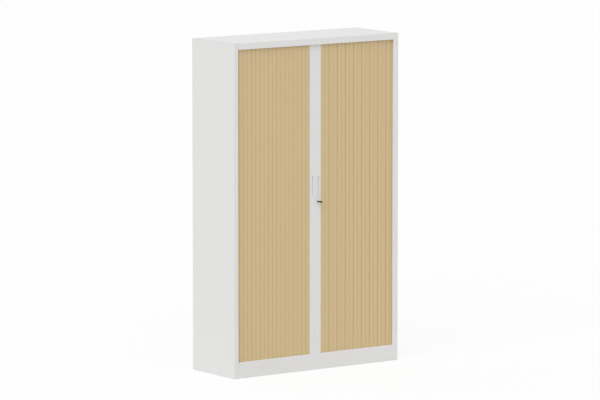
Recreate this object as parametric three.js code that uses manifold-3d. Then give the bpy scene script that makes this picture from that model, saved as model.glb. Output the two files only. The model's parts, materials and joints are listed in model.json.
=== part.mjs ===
import * as THREE from 'three';
import { mergeVertices } from 'three/addons/utils/BufferGeometryUtils.js';
import Module from 'manifold-3d';

const wasm = await Module();
wasm.setup();

// A tall steel cupboard whose two shutters of upright slats slide to the sides.
// Lengths are in millimetres. The origin is on the floor under the middle of the cupboard,
// +X runs to the right, the front faces -Y and +Z is up.
// Right-hand pieces are modelled, and the left-hand ones are their mirror images.

// Casing
const cabinetWidth = 1200;
const cabinetDepth = 430;
const carcassHeight = 1980;
const footShow = 4;
const outerSheet = 1;
const innerSheet = 0.8;
const bendRadius = 1.5;
const stileWidth = 32;
const topRailHeight = 39;
const plinthHeight = 94;
const plinthReturn = 12;
const rearFlange = 20;
const backFlange = 10;
const seam = 0.3;
const overrun = 5;
const bendSteps = 3;
const roundSteps = 24;

// Base and head panels, which carry the tracks
const panelFlange = 24;
const floorPanHeight = 10;
const floorPanSetback = 5;
const headRise = 12;

// Shutters
const shutterRecess = 17;
const shutterPlay = 1.5;
const slatsPerDoor = 9;
const slatThickness = 6;
const curtainBehindStile = 13.4;
const slatGap = 0.7;
const slopeWidth = 1.8;
const slopeDepth = 1.3;
const startEdge = 0.3;
const ribGrooveDepth = 1.4;
const ribGrooveHalf = 0.85;
const hingeDepth = 2.4;
const notchHalf = 1.2;
const notchDepth = 2.4;
const beadRadius = 1.1;
const beadReach = 2;
const neckHalf = 0.45;
const beadPlay = 0.3;
const beadSteps = 8;
const pinRadius = 2;
const pinSteps = 6;

// Tracks
const cornerRadius = 16;
const sideRunInset = 10;
const backRunInset = 12;
const backRunLength = 156;
const grooveHalf = 2.5;
const trackWall = 1;
const trackFloor = 2;
const trackHeight = 8;
const trackPlay = 1;
const cornerSteps = 8;

// Lead profiles, at the meeting edges of the shutters
const leadWidth = 40.9;
const leadDepth = 24;
const leadWall = 2;
const leadShoulder = 1.2;
const leadShoulderSteps = 3;
const meetingGap = 0.3;
const shoeLength = 24;

// Finger grips
const gripBottom = 1047;
const gripHeight = 115;
const gripWidth = 10;
const gripDepth = 8;
const gripWall = 1.5;
const gripRim = 2;
const gripRimThickness = 0.8;

// Lock
const lockHeight = 1009.5;
const lockFlangeRadius = 10;
const lockFlangeThickness = 1.2;
const lockBodyRadius = 8;
const barrelRadius = 6;
const barrelLength = 17;
const lockPlay = 0.3;
const stubRadius = 3;
const stubHeadRadius = 4.5;
const stubHeadThickness = 1.6;
const camThickness = 2.5;
const camHubRadius = 8;
const camReach = 31;
const camWidth = 10;
const hookLength = 5.5;
const hookRise = 6;
const camPlay = 1;
const keepThickness = 1.5;
const keepBorder = 6;

// Key
const bladeWidth = 8;
const bladeThickness = 2;
const bladeInside = 15;
const neckWidth = 6;
const pinFromLock = 9;
const keyPinRadius = 1;
const keyPlay = 0.3;
const eyeWall = 0.9;
const bowLength = 30;
const bowWidth = 18;
const bowThickness = 6;
const bowRound = 5;
const bowSteps = 5;
const bowBehindPin = 3;
const bowForkDepth = 8;
const ringHoleRadius = 2;
const ringHoleInset = 6;

// Inner walls and shelves
const innerHalfWidth = 565;
const innerFront = 39;
const innerBack = 37;
const linerFlange = 10;
const slotPitch = 46;
const slotCount = 38;
const slotRise = 46;
const slotWidth = 4;
const slotHeight = 14;
const slotInset = 36;
const shelfCount = 4;
const slotsPerShelf = 8;
const shelfLip = 25;
const shelfReturn = 12;
const shelfSetback = 8;
const bracketLeg = 22;
const bracketSeat = 12;
const bracketSheet = 1.5;
const bracketSetback = 26;
const hookWidth = 3;
const hookDrop = 5;

// Levelling feet
const footInsetX = 108;
const footInsetY = 30;
const footRadius = 15;
const footBevel = 2;
const footThickness = 8;
const studRadius = 4;
const studTop = 92;
const studPlay = 0.3;
const nutRadius = 8;
const nutHeight = 20;

// Levels and planes that follow from the sizes above
const halfWidth = cabinetWidth / 2;
const halfDepth = cabinetDepth / 2;
const carcassTop = footShow + carcassHeight;
const openingBottom = footShow + plinthHeight;
const openingTop = carcassTop - topRailHeight;
const stileInner = halfWidth - stileWidth;
const jambDepth = shutterRecess - shutterPlay;
const shutterFace = shutterRecess - halfDepth;
const baseTop = openingBottom - floorPanHeight;
const headBottom = openingTop + headRise;
const slatBottom = baseTop + seam + trackHeight + trackPlay;
const slatTop = headBottom - seam - trackHeight - trackPlay;
const frontRunY = shutterFace + hingeDepth;
const backRunY = halfDepth - backRunInset;
const sideRunX = halfWidth - sideRunInset;
const cornerX = sideRunX - cornerRadius;
const frontCornerY = frontRunY + cornerRadius;
const backCornerY = backRunY - cornerRadius;
const backRunEnd = cornerX - backRunLength;
const leadEdge = meetingGap / 2;
const leadMiddle = (leadEdge + leadWidth) / 2;
const slatPitch = (stileInner + curtainBehindStile - leadWidth) / slatsPerDoor;
const innerFrontY = innerFront - halfDepth;
const innerBackY = halfDepth - innerBack;
const backPlaneY = halfDepth - outerSheet - seam;
const casingInside = halfWidth - outerSheet - seam;
const panelHalfWidth = casingInside - innerSheet - bendRadius;
const panelFrontY = outerSheet + seam - halfDepth;
const panelBackY = backPlaneY - innerSheet - seam;
const lockFaceY = shutterFace - lockFlangeThickness;
const leadBackY = shutterFace + leadDepth;

// Finishes
function finish(colour, roughness, metalness) {
  return new THREE.MeshStandardMaterial({ color: colour, roughness, metalness });
}
const whitePaint = finish('#e2e2e1', 0.5, 0);
const whitePlastic = finish('#dededd', 0.45, 0);
const beechSlat = finish('#cdb68d', 0.55, 0);
const greyPlastic = finish('#b9babb', 0.6, 0);
const zincSteel = finish('#aeb0b2', 0.35, 1);
const nickel = finish('#c9c8c4', 0.25, 1);
const blackPlastic = finish('#17171a', 0.5, 0);
const footGrey = finish('#c6c7c8', 0.6, 0);

// A closed geometry becomes a solid that can be cut and joined.
function solidOf(geometry) {
  const bare = geometry.clone();
  bare.deleteAttribute('normal');
  bare.deleteAttribute('uv');
  const merged = mergeVertices(bare);
  return new wasm.Manifold(new wasm.Mesh({
    numProp: 3,
    vertProperties: new Float32Array(merged.attributes.position.array),
    triVerts: new Uint32Array(merged.index.array),
  }));
}

function geometryOf(solid) {
  const mesh = solid.getMesh();
  const geometry = new THREE.BufferGeometry();
  geometry.setAttribute('position', new THREE.BufferAttribute(mesh.vertProperties, mesh.numProp));
  geometry.setIndex(new THREE.BufferAttribute(mesh.triVerts, 1));
  const faceted = geometry.toNonIndexed();
  faceted.computeVertexNormals();
  return faceted;
}

function join(solids) {
  return solids.reduce((whole, solid) => whole.add(solid));
}

function cut(solid, tools) {
  return tools.reduce((rest, tool) => rest.subtract(tool), solid);
}

// A box between two corners.
function block(low, high) {
  const size = high.map((value, axis) => value - low[axis]);
  const middle = high.map((value, axis) => (value + low[axis]) / 2);
  return solidOf(new THREE.BoxGeometry(...size).translate(...middle));
}

function flat(points) {
  return points.map(([x, y]) => new THREE.Vector2(x, y));
}

// A plan outline, in X and Y, raised from one level to another.
function raise(outline, bottom, top, holes = []) {
  const shape = new THREE.Shape(outline);
  shape.holes = holes.map((hole) => new THREE.Path(hole));
  const geometry = new THREE.ExtrudeGeometry(shape, { depth: top - bottom, bevelEnabled: false });
  return solidOf(geometry.translate(0, 0, bottom));
}

// A side outline, in Y and Z, carried along X.
function carryAlongX(outline, left, right) {
  const geometry = new THREE.ExtrudeGeometry(new THREE.Shape(outline), {
    depth: right - left,
    bevelEnabled: false,
  });
  const turn = new THREE.Matrix4().makeBasis(
    new THREE.Vector3(0, 1, 0),
    new THREE.Vector3(0, 0, 1),
    new THREE.Vector3(1, 0, 0),
  );
  return solidOf(geometry.applyMatrix4(turn).translate(left, 0, 0));
}

// A front outline, in X and Z, carried from its back plane towards the viewer.
function carryForward(outline, back, front) {
  const geometry = new THREE.ExtrudeGeometry(new THREE.Shape(outline), {
    depth: back - front,
    bevelEnabled: false,
  });
  const turn = new THREE.Matrix4().makeBasis(
    new THREE.Vector3(1, 0, 0),
    new THREE.Vector3(0, 0, 1),
    new THREE.Vector3(0, -1, 0),
  );
  return solidOf(geometry.applyMatrix4(turn).translate(0, back, 0));
}

// A round bar along Y between two planes, centred on x and z.
function barAlongY(radius, front, back, x, z, steps = roundSteps) {
  const geometry = new THREE.CylinderGeometry(radius, radius, back - front, steps);
  return solidOf(geometry.translate(x, (front + back) / 2, z));
}

// A round bar standing on a level, centred on x and y.
function barAlongZ(radius, bottom, top, x, y, steps = roundSteps) {
  const geometry = new THREE.CylinderGeometry(radius, radius, top - bottom, steps);
  return solidOf(geometry.rotateX(Math.PI / 2).translate(x, y, (bottom + top) / 2));
}

// A round bar along X between two planes, centred on y and z.
function barAlongX(radius, left, right, y, z, steps = roundSteps) {
  const geometry = new THREE.CylinderGeometry(radius, radius, right - left, steps);
  return solidOf(geometry.rotateZ(Math.PI / 2).translate((left + right) / 2, y, z));
}

// Points on an arc, from one angle to another.
function arc(centreX, centreY, radius, from, to, steps) {
  return Array.from({ length: steps + 1 }, (unused, step) => {
    const angle = from + (to - from) * step / steps;
    return new THREE.Vector2(
      centreX + radius * Math.cos(angle),
      centreY + radius * Math.sin(angle),
    );
  });
}

// The outline of a folded sheet: its middle line is given by its corners, and is rounded there.
function foldedSheet(corners, thickness) {
  const line = flat(corners);
  const near = [];
  const far = [];
  const put = (point, angle) => {
    const normal = new THREE.Vector2(-Math.sin(angle), Math.cos(angle));
    near.push(point.clone().addScaledVector(normal, thickness / 2));
    far.push(point.clone().addScaledVector(normal, -thickness / 2));
  };
  const angles = line.slice(1).map((point, index) => point.clone().sub(line[index]).angle());
  put(line[0], angles[0]);
  for (let index = 1; index < line.length - 1; index += 1) {
    const before = angles[index - 1];
    const turn = Math.atan2(Math.sin(angles[index] - before), Math.cos(angles[index] - before));
    const side = Math.sign(turn);
    const back = bendRadius * Math.tan(Math.abs(turn) / 2);
    const start = new THREE.Vector2(Math.cos(before), Math.sin(before))
      .multiplyScalar(-back)
      .add(line[index]);
    const normal = new THREE.Vector2(-Math.sin(before), Math.cos(before));
    const centre = start.addScaledVector(normal, side * bendRadius);
    for (let step = 0; step <= bendSteps; step += 1) {
      const angle = before + turn * step / bendSteps;
      const spoke = new THREE.Vector2(-Math.sin(angle), Math.cos(angle));
      put(centre.clone().addScaledVector(spoke, -side * bendRadius), angle);
    }
  }
  put(line.at(-1), angles.at(-1));
  return [...near, ...far.reverse()];
}

// Casing

function sidePanel() {
  const skinX = halfWidth - outerSheet / 2;
  const frontY = outerSheet / 2 - halfDepth;
  const backY = halfDepth - outerSheet / 2;
  const jambX = stileInner + outerSheet / 2;
  const outline = foldedSheet([
    [halfWidth - rearFlange, backY],
    [skinX, backY],
    [skinX, frontY],
    [jambX, frontY],
    [jambX, jambDepth - halfDepth],
  ], outerSheet);
  return raise(outline, footShow, carcassTop - outerSheet - seam);
}

// The top, with the rail above the opening folded down from its front edge.
function topPanel() {
  const frontY = outerSheet / 2 - halfDepth;
  const backY = halfDepth - outerSheet / 2;
  const skinZ = carcassTop - outerSheet / 2;
  const outline = foldedSheet([
    [backY, carcassTop - rearFlange],
    [backY, skinZ],
    [frontY, skinZ],
    [frontY, openingTop + outerSheet / 2],
    [jambDepth - halfDepth, openingTop + outerSheet / 2],
  ], outerSheet);
  const whole = carryAlongX(outline, -halfWidth, halfWidth);
  const under = openingTop - overrun;
  const sheetUnder = carcassTop - outerSheet;
  const ends = [-1, 1].flatMap((side) => {
    const out = side * (halfWidth + overrun);
    const frontEnd = side * (stileInner - seam);
    const backEnd = side * (halfWidth - rearFlange - seam);
    return [
      block(
        [Math.min(out, frontEnd), -halfDepth - overrun, under],
        [Math.max(out, frontEnd), 0, sheetUnder],
      ),
      block(
        [Math.min(out, backEnd), 0, under],
        [Math.max(out, backEnd), halfDepth + overrun, sheetUnder],
      ),
    ];
  });
  return cut(whole, ends);
}

function plinthRail() {
  const frontY = outerSheet / 2 - halfDepth;
  const outline = foldedSheet([
    [jambDepth - halfDepth, openingBottom - outerSheet / 2],
    [frontY, openingBottom - outerSheet / 2],
    [frontY, footShow + outerSheet / 2],
    [plinthReturn - halfDepth, footShow + outerSheet / 2],
  ], outerSheet);
  return carryAlongX(outline, seam - stileInner, stileInner - seam);
}

function backPanel() {
  const skinY = backPlaneY - innerSheet / 2;
  const endX = casingInside - innerSheet / 2;
  const outline = foldedSheet([
    [endX, skinY - backFlange],
    [endX, skinY],
    [-endX, skinY],
    [-endX, skinY - backFlange],
  ], innerSheet);
  return raise(outline, footShow + seam, carcassTop - outerSheet - bendRadius);
}

// A panel across the casing, with its flanges turned away from the tracks that it carries.
function trackPanel(face, away) {
  const skinZ = face + away * outerSheet / 2;
  const endZ = face + away * panelFlange;
  const outline = foldedSheet([
    [panelFrontY + outerSheet / 2, endZ],
    [panelFrontY + outerSheet / 2, skinZ],
    [panelBackY - outerSheet / 2, skinZ],
    [panelBackY - outerSheet / 2, endZ],
  ], outerSheet);
  const whole = carryAlongX(outline, -panelHalfWidth, panelHalfWidth);
  const low = Math.min(face, endZ) - overrun;
  const high = Math.max(face, endZ) + overrun;
  const stileClearance = jambDepth + seam - halfDepth;
  return cut(whole, [-1, 1].map((side) => {
    const inner = side * (stileInner - seam);
    const outer = side * (panelHalfWidth + overrun);
    return block(
      [Math.min(inner, outer), panelFrontY - overrun, low],
      [Math.max(inner, outer), stileClearance, high],
    );
  }));
}

const footPlaces = [
  ['front_left', -1, -1],
  ['front_right', 1, -1],
  ['back_left', -1, 1],
  ['back_right', 1, 1],
].map(([name, sideX, sideY]) => ({
  name,
  x: sideX * (halfWidth - footInsetX),
  y: sideY * (halfDepth - footInsetY),
}));

// The base, with a welded nut over each foot.
function basePanel() {
  const under = baseTop - outerSheet;
  const nuts = footPlaces.map(({ x, y }) => (
    barAlongZ(nutRadius, under - nutHeight, baseTop - outerSheet / 2, x, y, roundSteps / 2)
  ));
  const bores = footPlaces.map(({ x, y }) => (
    barAlongZ(studRadius + studPlay, under - nutHeight - overrun, baseTop + overrun, x, y)
  ));
  return cut(join([trackPanel(baseTop, -1), ...nuts]), bores);
}

// Inner walls

function slotLevel(index) {
  return openingBottom + slotRise + slotPitch * index;
}

const slotPlaces = [innerFrontY + slotInset, innerBackY - slotInset];

function liner() {
  const skinX = innerHalfWidth + innerSheet / 2;
  const frontY = innerFrontY + innerSheet / 2;
  const backY = innerBackY - innerSheet / 2;
  const outline = foldedSheet([
    [innerHalfWidth + linerFlange, frontY],
    [skinX, frontY],
    [skinX, backY],
    [innerHalfWidth + linerFlange, backY],
  ], innerSheet);
  const wall = raise(outline, baseTop + seam, headBottom - seam);
  const slots = slotPlaces.flatMap((y) => (
    Array.from({ length: slotCount }, (unused, index) => block(
      [innerHalfWidth - overrun, y - slotWidth / 2, slotLevel(index) - slotHeight / 2],
      [innerHalfWidth + innerSheet + overrun, y + slotWidth / 2, slotLevel(index) + slotHeight / 2],
    ))
  ));
  return cut(wall, [join(slots)]);
}

function backLiner() {
  const half = innerHalfWidth + linerFlange;
  return block(
    [-half, innerBackY + seam, baseTop + seam],
    [half, innerBackY + seam + innerSheet, headBottom - seam],
  );
}

function floorPan() {
  const frontY = innerFrontY + floorPanSetback;
  const backY = innerBackY - seam;
  const outline = foldedSheet([
    [frontY + innerSheet / 2, baseTop + seam],
    [frontY + innerSheet / 2, openingBottom - innerSheet / 2],
    [backY - innerSheet / 2, openingBottom - innerSheet / 2],
    [backY - innerSheet / 2, baseTop + seam],
  ], innerSheet);
  return carryAlongX(outline, seam - innerHalfWidth, innerHalfWidth - seam);
}

// Shelves

function hookLevel(shelf) {
  return slotLevel(slotsPerShelf * shelf - 1);
}

function seatLevel(shelf) {
  return hookLevel(shelf) + bracketLeg / 2;
}

// A folded shelf with a lip at the front and the back, drawn with its underside at zero.
function shelfPan() {
  const frontY = innerFrontY + shelfSetback + innerSheet / 2;
  const backY = innerBackY - shelfSetback - innerSheet / 2;
  const skinZ = innerSheet / 2;
  const lipZ = innerSheet - shelfLip + innerSheet / 2;
  const outline = foldedSheet([
    [frontY + shelfReturn, lipZ],
    [frontY, lipZ],
    [frontY, skinZ],
    [backY, skinZ],
    [backY, lipZ],
    [backY - shelfReturn, lipZ],
  ], innerSheet);
  const half = innerHalfWidth - seam - bracketSheet - seam;
  return carryAlongX(outline, -half, half);
}

// The right-hand rail that carries a shelf, drawn about the middle of its slots.
function shelfBracket() {
  const backX = innerHalfWidth - seam;
  const frontY = innerFrontY + bracketSetback;
  const backY = innerBackY - bracketSetback;
  const half = bracketLeg / 2;
  const leg = block([backX - bracketSheet, frontY, -half], [backX, backY, half]);
  const seat = block([backX - bracketSeat, frontY, half - bracketSheet], [backX, backY, half]);
  const behind = innerHalfWidth + innerSheet + seam;
  const low = seam - slotHeight / 2;
  const high = low + slotHeight / 2;
  const hooks = slotPlaces.flatMap((y) => [
    block(
      [backX - bracketSheet, y - hookWidth / 2, low],
      [behind + bracketSheet, y + hookWidth / 2, high],
    ),
    block(
      [behind, y - hookWidth / 2, low - hookDrop],
      [behind + bracketSheet, y + hookWidth / 2, high],
    ),
  ]);
  return join([leg, seat, ...hooks]);
}

// Tracks

// A line that keeps a distance from the middle of the groove: along the front, round the
// front corner, along the side, round the back corner and a little way along the back.
function trackLine(offset) {
  return [
    new THREE.Vector2(leadEdge, frontRunY - offset),
    ...arc(cornerX, frontCornerY, cornerRadius + offset, -Math.PI / 2, 0, cornerSteps),
    ...arc(cornerX, backCornerY, cornerRadius + offset, 0, Math.PI / 2, cornerSteps),
    new THREE.Vector2(backRunEnd, backRunY + offset),
  ];
}

// A track whose closed face lies on one level, with its groove open towards the slats.
function track(face, towardsSlats) {
  const band = (inner, outer, height) => {
    const outline = [...trackLine(outer), ...trackLine(inner).reverse()];
    const end = face + towardsSlats * height;
    return raise(outline, Math.min(face, end), Math.max(face, end));
  };
  const rim = grooveHalf + trackWall;
  return join([
    band(-rim, rim, trackFloor),
    band(grooveHalf, rim, trackHeight),
    band(-rim, -grooveHalf, trackHeight),
  ]);
}

// Shutters

// How far a rib that starts at the given place has turned into the corner: the angle of the
// chord, one rib long, whose two ends lie on the middle line of the groove.
function ribTurn(startX, ribWidth) {
  const pastTangent = startX + ribWidth - cornerX;
  if (pastTangent <= 0) {
    return 0;
  }
  const angle = Math.min(pastTangent / cornerRadius, Math.PI / 2);
  const along = cornerX - startX + cornerRadius * Math.sin(angle);
  const inwards = cornerRadius * (1 - Math.cos(angle));
  return Math.atan2(inwards, along);
}

// The section of a slat, with two ribs that hinge in the middle. X runs along the slat from
// its joint with the slat before, and Y is the depth behind the face of the shutter. The far
// edge slopes down to the joint, and the near edge is nearly sharp.
function slatSection(turn) {
  const start = slatGap / 2;
  const end = slatPitch - slatGap / 2;
  const middle = slatPitch / 2;
  const hinge = new THREE.Vector2(middle, hingeDepth);
  const mouthHalf = neckHalf + beadPlay;
  const socketRadius = beadRadius + beadPlay;
  const mouthAngle = Math.asin(mouthHalf / socketRadius);
  const neckAngle = Math.asin(neckHalf / beadRadius);
  const farRib = [
    ...flat([
      [middle + ribGrooveHalf, 0],
      [end - slopeWidth, 0],
      [end, slopeDepth],
      [end, hingeDepth - neckHalf],
    ]),
    ...arc(
      slatPitch + beadReach, hingeDepth, beadRadius, neckAngle - Math.PI, Math.PI - neckAngle, beadSteps,
    ),
    ...flat([
      [end, hingeDepth + neckHalf],
      [end - notchHalf, slatThickness],
      [middle + notchHalf, slatThickness],
    ]),
  ];
  return [
    ...flat([[middle, ribGrooveDepth]]),
    ...farRib.map((point) => point.rotateAround(hinge, turn)),
    ...flat([
      [middle, slatThickness - notchDepth],
      [middle - notchHalf, slatThickness],
      [start + notchHalf, slatThickness],
      [start, hingeDepth + mouthHalf],
    ]),
    ...arc(beadReach, hingeDepth, socketRadius, Math.PI - mouthAngle, mouthAngle - Math.PI, beadSteps),
    ...flat([
      [start, hingeDepth - mouthHalf],
      [start, startEdge],
      [start + startEdge, 0],
      [middle - ribGrooveHalf, 0],
    ]),
  ];
}

// A guide pin at each end of a slat runs in the groove of the track.
const pinLength = trackHeight - trackFloor;

function slat(turn) {
  const middle = slatPitch / 2;
  const bottomPin = barAlongZ(
    pinRadius, slatBottom - pinLength, slatBottom + overrun, middle, hingeDepth, pinSteps,
  );
  const topPin = barAlongZ(
    pinRadius, slatTop - overrun, slatTop + pinLength, middle, hingeDepth, pinSteps,
  );
  return join([raise(slatSection(turn), slatBottom, slatTop), bottomPin, topPin]);
}

// How far the tip of the lock's cam swings past the plane of a lead profile's wall.
const camTipRadius = Math.hypot(camReach, camWidth / 2 + hookRise);
const slotBelow = Math.sqrt(camTipRadius ** 2 - (leadMiddle - leadWall) ** 2) + camPlay;
const slotAbove = camWidth / 2 + camPlay;
const camFrontY = lockFaceY + barrelLength + lockPlay;
const camBackY = camFrontY + camThickness;

// The opening that the cam swings through, between two X planes.
function camSlot(left, right) {
  return block(
    [left, camFrontY - camPlay, lockHeight - slotBelow],
    [right, camBackY + camPlay, lockHeight + slotAbove],
  );
}

// The right-hand lead profile: a hollow box with a bead for the first slat, a shoe at each
// end that runs in the groove, and a slot for the cam of the lock.
function leadProfile(cuts) {
  const outerX = leadWidth - seam / 2;
  const neckAngle = Math.asin(neckHalf / beadRadius);
  const outline = [
    ...flat([
      [leadEdge, shutterFace + seam],
      [leadEdge + seam, shutterFace],
    ]),
    ...arc(
      outerX - leadShoulder, shutterFace + leadShoulder, leadShoulder, -Math.PI / 2, 0, leadShoulderSteps,
    ),
    ...flat([[outerX, frontRunY - neckHalf]]),
    ...arc(
      leadWidth + beadReach, frontRunY, beadRadius, neckAngle - Math.PI, Math.PI - neckAngle, beadSteps,
    ),
    ...flat([
      [outerX, frontRunY + neckHalf],
      [outerX, leadBackY],
      [leadEdge, leadBackY],
    ]),
  ];
  const hollow = flat([
    [leadEdge + leadWall, shutterFace + leadWall],
    [outerX - leadWall, shutterFace + leadWall],
    [outerX - leadWall, leadBackY - leadWall],
    [leadEdge + leadWall, leadBackY - leadWall],
  ]);
  const profile = raise(outline, slatBottom, slatTop, [hollow]);
  const shoeFrontY = frontRunY - pinRadius;
  const shoeBackY = frontRunY + pinRadius;
  const shoes = [
    block(
      [leadMiddle - shoeLength / 2, shoeFrontY, slatBottom - pinLength],
      [leadMiddle + shoeLength / 2, shoeBackY, slatBottom + leadWall],
    ),
    block(
      [leadMiddle - shoeLength / 2, shoeFrontY, slatTop - leadWall],
      [leadMiddle + shoeLength / 2, shoeBackY, slatTop + pinLength],
    ),
  ];
  const swing = camSlot(-overrun, leadEdge + leadWall + overrun);
  return cut(join([profile, ...shoes]), [...cuts, gripHole(), swing]);
}

function lockHole() {
  return barAlongY(
    lockBodyRadius + lockPlay, shutterFace - overrun, shutterFace + leadWall + overrun,
    leadMiddle, lockHeight,
  );
}

// Finger grips

function gripHole() {
  const half = gripWidth / 2 + gripWall + seam;
  return block(
    [leadMiddle - half, shutterFace - overrun, gripBottom - gripWall - seam],
    [leadMiddle + half, shutterFace + leadWall + overrun, gripBottom + gripHeight + gripWall + seam],
  );
}

function fingerGrip() {
  const half = gripWidth / 2;
  const rimFrontY = shutterFace - seam - gripRimThickness;
  const cupBackY = shutterFace + gripDepth;
  const top = gripBottom + gripHeight;
  const cup = block(
    [leadMiddle - half - gripWall, shutterFace - seam - gripRimThickness / 2, gripBottom - gripWall],
    [leadMiddle + half + gripWall, cupBackY, top + gripWall],
  );
  const rim = block(
    [leadMiddle - half - gripWall - gripRim, rimFrontY, gripBottom - gripWall - gripRim],
    [leadMiddle + half + gripWall + gripRim, shutterFace - seam, top + gripWall + gripRim],
  );
  const hollow = block(
    [leadMiddle - half, rimFrontY - overrun, gripBottom],
    [leadMiddle + half, cupBackY - gripWall, top],
  );
  return cut(join([cup, rim]), [hollow]);
}

// Lock

function lockHousing() {
  const flange = barAlongY(
    lockFlangeRadius, lockFaceY, shutterFace - seam, leadMiddle, lockHeight,
  );
  const body = barAlongY(
    lockBodyRadius, lockFaceY + lockFlangeThickness / 2, lockFaceY + barrelLength,
    leadMiddle, lockHeight,
  );
  const bore = barAlongY(
    barrelRadius + lockPlay, lockFaceY - overrun, lockFaceY + barrelLength + overrun,
    leadMiddle, lockHeight,
  );
  return cut(join([flange, body]), [bore]);
}

// The barrel has a slot for the key, and behind it a stub whose head keeps the cam on.
function lockBarrel() {
  const backY = lockFaceY + barrelLength;
  const headY = camBackY + lockPlay;
  const barrel = barAlongY(barrelRadius, lockFaceY, backY, leadMiddle, lockHeight);
  const stub = barAlongY(
    stubRadius, backY - stubRadius / 2, headY + stubHeadThickness / 2, leadMiddle, lockHeight,
  );
  const head = barAlongY(
    stubHeadRadius, headY, headY + stubHeadThickness, leadMiddle, lockHeight,
  );
  const slotHalf = bladeWidth / 2 + keyPlay;
  const slotRiseHalf = bladeThickness / 2 + keyPlay;
  const slot = block(
    [leadMiddle - slotHalf, lockFaceY - overrun, lockHeight - slotRiseHalf],
    [leadMiddle + slotHalf, lockFaceY + bladeInside + keyPlay, lockHeight + slotRiseHalf],
  );
  return cut(join([barrel, stub, head]), [slot]);
}

// The cam hangs down while the lock is open, with its hook towards the other shutter.
function lockCam() {
  const half = camWidth / 2;
  const outline = flat([
    [leadMiddle + half, lockHeight],
    [leadMiddle - half, lockHeight],
    [leadMiddle - half, lockHeight - camReach + hookLength],
    [leadMiddle - half - hookRise, lockHeight - camReach + hookLength],
    [leadMiddle - half - hookRise, lockHeight - camReach],
    [leadMiddle + half, lockHeight - camReach],
  ]);
  const arm = carryForward(outline, camBackY, camFrontY);
  const hub = barAlongY(camHubRadius, camFrontY, camBackY, leadMiddle, lockHeight);
  const hole = barAlongY(
    stubRadius + lockPlay, camFrontY - overrun, camBackY + overrun, leadMiddle, lockHeight,
  );
  return cut(join([arm, hub]), [hole]);
}

// The keep is a steel plate behind the slot in the left-hand lead profile, drawn on the right.
function lockKeep() {
  const wallX = leadEdge + leadWall + seam;
  const plate = block(
    [wallX, camFrontY - camPlay - keepBorder / 2, lockHeight - slotBelow - keepBorder],
    [wallX + keepThickness, leadBackY - leadWall - seam, lockHeight + slotAbove + keepBorder],
  );
  return cut(plate, [camSlot(wallX - overrun, wallX + keepThickness + overrun)]);
}

// Key

const keyPinY = lockFaceY - pinFromLock;
const eyeRadius = keyPinRadius + keyPlay + eyeWall;

// The blade stands in the barrel, and its neck ends in an eye for the pin of the bow.
function keyBlade() {
  const half = bladeThickness / 2;
  const neckHalfWidth = neckWidth / 2;
  const blade = block(
    [leadMiddle - bladeWidth / 2, lockFaceY - keyPlay, lockHeight - half],
    [leadMiddle + bladeWidth / 2, lockFaceY + bladeInside, lockHeight + half],
  );
  const neck = block(
    [leadMiddle - neckHalfWidth, keyPinY, lockHeight - half],
    [leadMiddle + neckHalfWidth, lockFaceY, lockHeight + half],
  );
  const eye = barAlongX(
    eyeRadius, leadMiddle - neckHalfWidth, leadMiddle + neckHalfWidth, keyPinY, lockHeight,
  );
  const hole = barAlongX(
    keyPinRadius + keyPlay, leadMiddle - neckWidth, leadMiddle + neckWidth, keyPinY, lockHeight,
  );
  return cut(join([blade, neck, eye]), [hole]);
}

// The bow folds on a pin that crosses its fork.
function keyBow() {
  const half = bowWidth / 2;
  const backY = keyPinY + bowBehindPin;
  const tipY = backY - bowLength;
  const outline = [
    ...flat([[leadMiddle - half, backY]]),
    ...arc(leadMiddle - half + bowRound, tipY + bowRound, bowRound, Math.PI, Math.PI * 1.5, bowSteps),
    ...arc(leadMiddle + half - bowRound, tipY + bowRound, bowRound, -Math.PI / 2, 0, bowSteps),
    ...flat([[leadMiddle + half, backY]]),
  ];
  const low = lockHeight - bowThickness / 2;
  const high = lockHeight + bowThickness / 2;
  const plate = raise(outline, low, high);
  const gapHalf = neckWidth / 2 + keyPlay;
  const fork = block(
    [leadMiddle - gapHalf, backY - bowForkDepth, low - overrun],
    [leadMiddle + gapHalf, backY + overrun, high + overrun],
  );
  const ringHole = barAlongZ(
    ringHoleRadius, low - overrun, high + overrun, leadMiddle, tipY + ringHoleInset, roundSteps / 2,
  );
  const pinHalf = half - bowRound / 2;
  const pin = barAlongX(keyPinRadius, leadMiddle - pinHalf, leadMiddle + pinHalf, keyPinY, lockHeight);
  return join([cut(plate, [fork, ringHole]), pin]);
}

// A levelling foot: a pad with a threaded stud, turned about its own axis.
function foot() {
  const profile = flat([
    [0, 0],
    [footRadius - footBevel, 0],
    [footRadius, footBevel],
    [footRadius, footThickness],
    [studRadius, footThickness],
    [studRadius, studTop],
    [0, studTop],
  ]);
  return solidOf(new THREE.LatheGeometry(profile, roundSteps).rotateX(Math.PI / 2));
}

// Assembly

const cabinet = new THREE.Group();
const rightHalf = new THREE.Group();
const leftHalf = new THREE.Group();
leftHalf.scale.x = -1;
cabinet.add(rightHalf, leftHalf);

function addPiece(parent, name, solid, material, place = [0, 0, 0]) {
  const mesh = new THREE.Mesh(geometryOf(solid), material.clone());
  mesh.name = name;
  mesh.position.set(...place);
  parent.add(mesh);
}

addPiece(cabinet, 'top_panel', topPanel(), whitePaint);
addPiece(cabinet, 'plinth_rail', plinthRail(), whitePaint);
addPiece(cabinet, 'back_panel', backPanel(), whitePaint);
addPiece(cabinet, 'base_panel', basePanel(), whitePaint);
addPiece(cabinet, 'head_panel', trackPanel(headBottom, 1), whitePaint);
addPiece(cabinet, 'back_liner', backLiner(), whitePaint);
addPiece(cabinet, 'floor_pan', floorPan(), whitePaint);

const shelfLevels = Array.from({ length: shelfCount }, (unused, index) => index + 1);
const pan = shelfPan();
const bracket = shelfBracket();
for (const shelf of shelfLevels) {
  addPiece(cabinet, `shelf_${shelf}`, pan, whitePaint, [0, 0, seatLevel(shelf) + seam]);
}

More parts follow.
